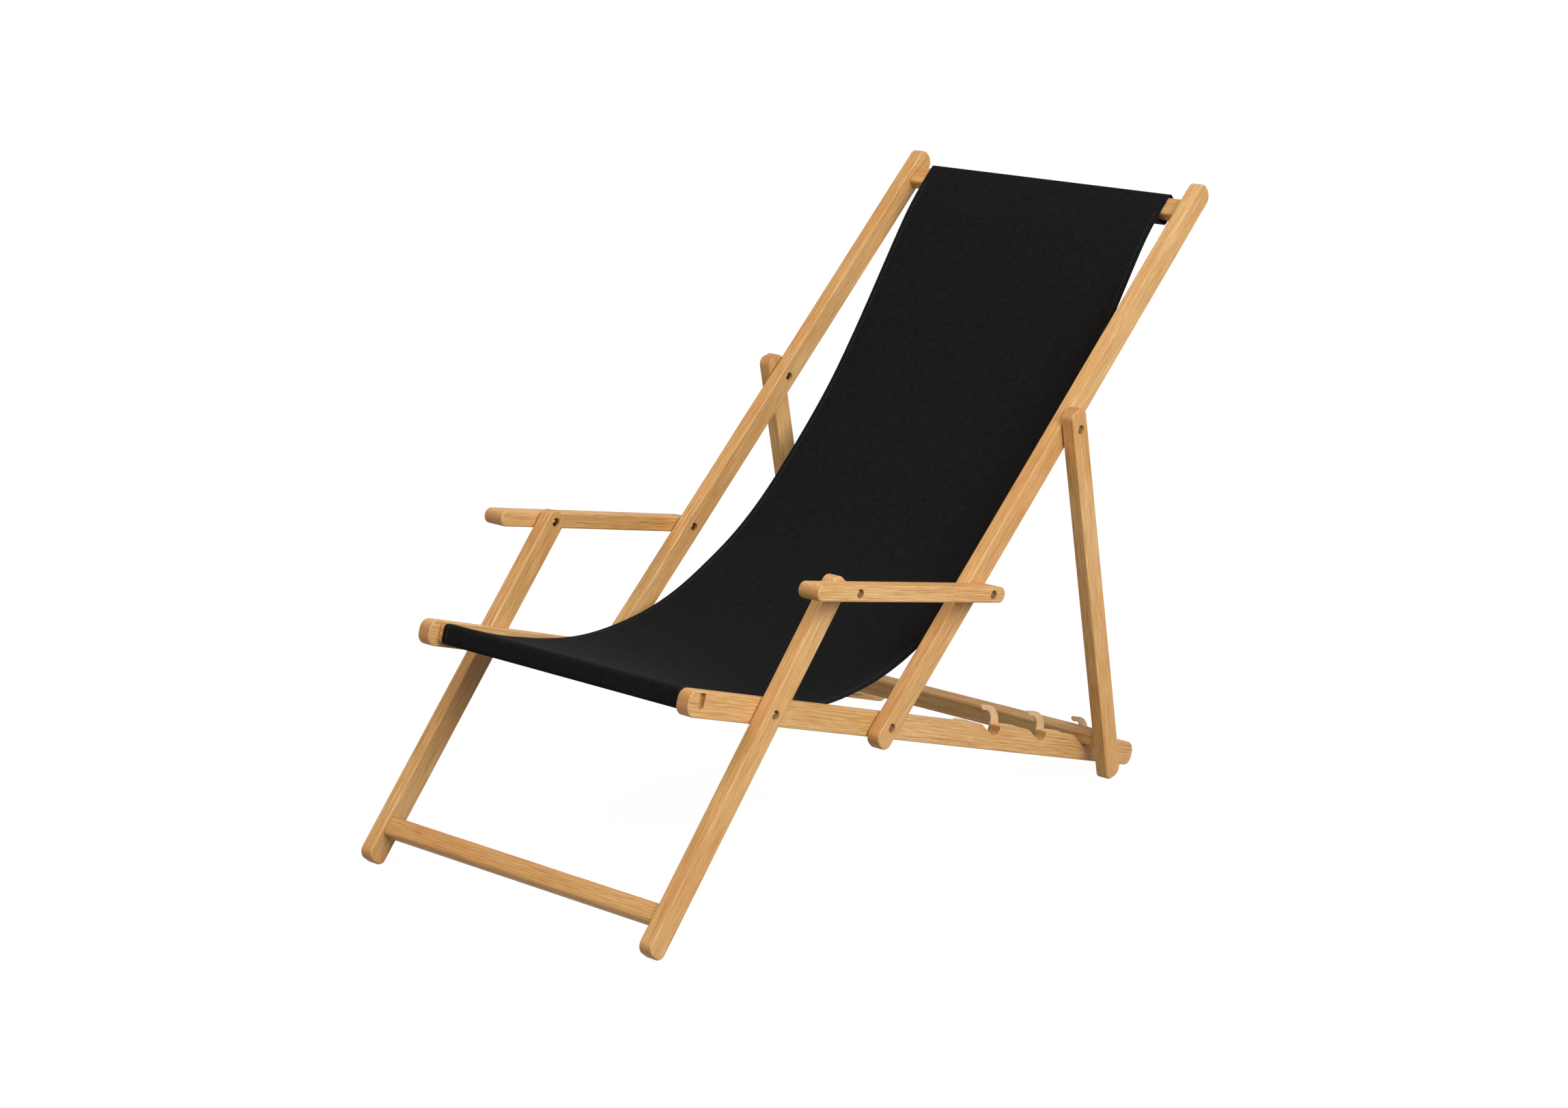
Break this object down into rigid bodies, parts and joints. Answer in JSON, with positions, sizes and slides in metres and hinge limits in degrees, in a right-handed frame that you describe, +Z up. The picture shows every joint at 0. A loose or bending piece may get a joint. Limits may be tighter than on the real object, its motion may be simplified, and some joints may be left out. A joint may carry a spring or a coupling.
{
  "type": "steamer deck chair",
  "caption": "Folding wooden deck chair with a canvas sling, seat rails with hooked notches, a swinging prop frame and swinging armrests.",
  "frame": {"origin": "on the floor, below the middle of the chair's outer box", "axes": "+Z up, the sitter faces -Y, +X at the sitter's left"},
  "size_m": [0.6, 1.1774, 0.8542],
  "materials": {
    "timber": "oiled pale hardwood",
    "canvas": "plain woven canvas, near black",
    "hook_plate": "smooth sealed plywood",
    "steel": "zinc plated",
    "brass": "plain brass"
  },
  "bodies": {
    "seat_frame": {"seat_rail_left": "timber", "seat_rail_right": "timber", "front_bar": "timber", "catch_plate_left": "hook_plate", "catch_plate_right": "hook_plate", "plate_screw_1_left": "brass", "plate_screw_2_left": "brass", "plate_screw_3_left": "brass", "plate_screw_4_left": "brass", "plate_screw_1_right": "brass", "plate_screw_2_right": "brass", "plate_screw_3_right": "brass", "plate_screw_4_right": "brass", "sling": "canvas"},
    "leg_frame": {"front_leg_left": "timber", "front_leg_right": "timber", "foot_bar": "timber", "leg_bolt_left": "steel", "leg_nut_left": "steel", "leg_washer_left": "brass", "leg_bolt_right": "steel", "leg_nut_right": "steel", "leg_washer_right": "brass", "armrest_front_nut_left": "steel", "armrest_front_nut_right": "steel"},
    "back_frame": {"back_rail_left": "timber", "back_rail_right": "timber", "top_bar": "timber", "back_bolt_left": "steel", "back_nut_left": "steel", "back_washer_left": "brass", "back_bolt_right": "steel", "back_nut_right": "steel", "back_washer_right": "brass"},
    "prop_frame": {"prop_leg_left": "timber", "prop_leg_right": "timber", "notch_bar": "timber", "prop_bolt_left": "steel", "prop_nut_left": "steel", "prop_washer_left": "brass", "prop_bolt_right": "steel", "prop_nut_right": "steel", "prop_washer_right": "brass"},
    "armrest_left": {"armrest_left": "timber", "armrest_front_bolt_left": "steel", "armrest_front_washer_left": "brass", "armrest_rear_bolt_left": "steel", "armrest_rear_nut_left": "steel", "armrest_rear_washer_left": "brass"},
    "armrest_right": {"armrest_right": "timber", "armrest_front_bolt_right": "steel", "armrest_front_washer_right": "brass", "armrest_rear_bolt_right": "steel", "armrest_rear_nut_right": "steel", "armrest_rear_washer_right": "brass"}
  },
  "joints": [
    {"name": "back_recline", "type": "hinge", "parent": "seat_frame", "child": "back_frame", "pos_m": [0, -0.11881, 0.19639], "axis": [1, 0, 0], "range_deg": [0, 17], "deforming": ["sling"]},
    {"name": "leg_swing", "type": "hinge", "parent": "seat_frame", "child": "leg_frame", "pos_m": [0, -0.35624, 0.26873], "axis": [1, 0, 0], "range_deg": [0, 19.77]},
    {"name": "prop_swing", "type": "hinge", "parent": "back_frame", "child": "prop_frame", "pos_m": [0, 0.2585, 0.54647], "axis": [1, 0, 0], "range_deg": [-17.95, 0]},
    {"name": "armrest_left_swing", "type": "hinge", "parent": "back_frame", "child": "armrest_left", "pos_m": [0, 0.05031, 0.35331], "axis": [1, 0, 0], "range_deg": [-15.14, 0]},
    {"name": "armrest_right_swing", "type": "hinge", "parent": "back_frame", "child": "armrest_right", "pos_m": [0, 0.05031, 0.35331], "axis": [1, 0, 0], "range_deg": [-15.14, 0]}
  ],
  "couplings": [
    {"joint": "leg_swing", "follows": "back_recline", "ratio": 1.157},
    {"joint": "prop_swing", "follows": "back_recline", "ratio": -1.05},
    {"joint": "armrest_left_swing", "follows": "back_recline", "ratio": -0.8849},
    {"joint": "armrest_right_swing", "follows": "back_recline", "ratio": -0.8849}
  ]
}
